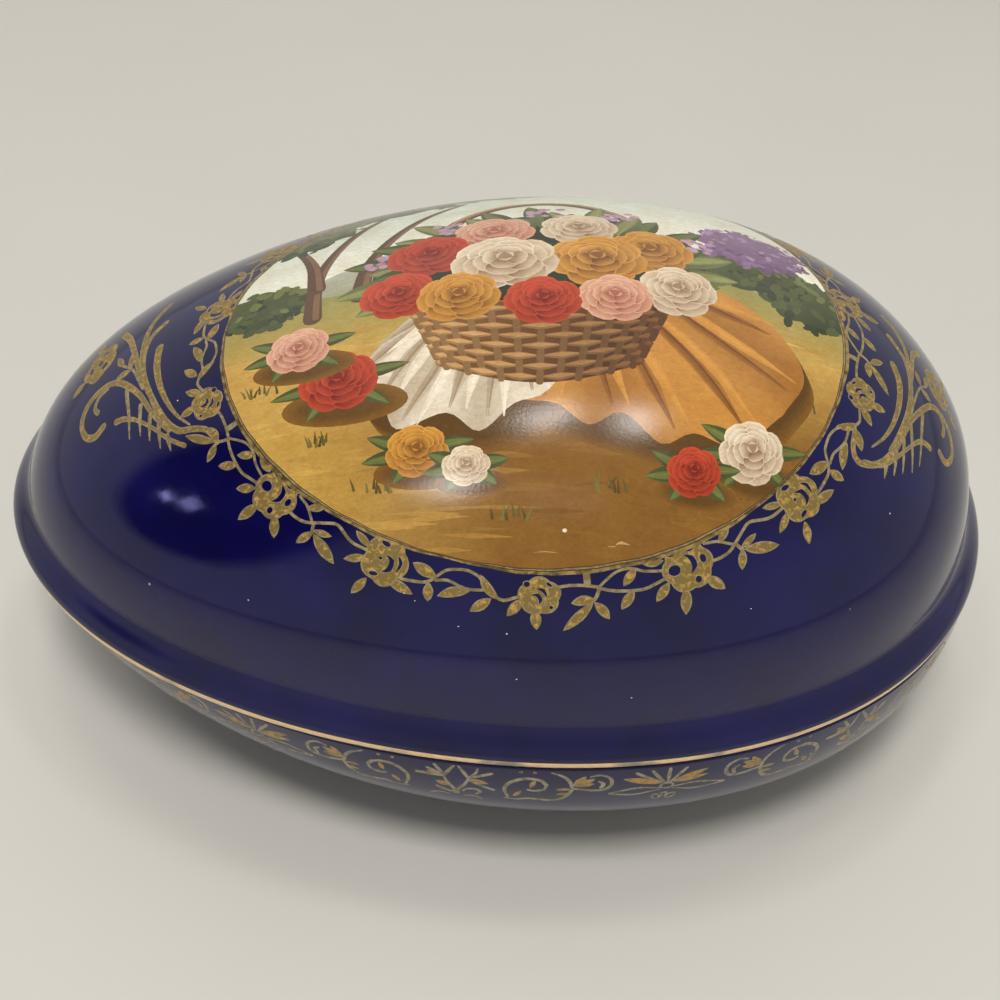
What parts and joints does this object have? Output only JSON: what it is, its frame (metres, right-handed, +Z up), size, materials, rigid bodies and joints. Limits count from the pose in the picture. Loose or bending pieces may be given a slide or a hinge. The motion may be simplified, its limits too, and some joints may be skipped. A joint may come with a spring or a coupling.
{
  "type": "egg trinket box",
  "caption": "Egg-shaped cobalt-glazed porcelain trinket box with a lift-off domed lid, gilt ornament and an oval picture on its top.",
  "frame": {"origin": "on the table, under the middle of the box's length and width", "axes": "+X towards the egg's blunt end, +Y across it, +Z up"},
  "size_m": [0.165, 0.1184, 0.0819],
  "materials": {
    "cobalt_glaze": "glossy"
  },
  "bodies": {
    "root": {"lid": "cobalt_glaze", "base": "cobalt_glaze"}
  },
  "joints": []
}
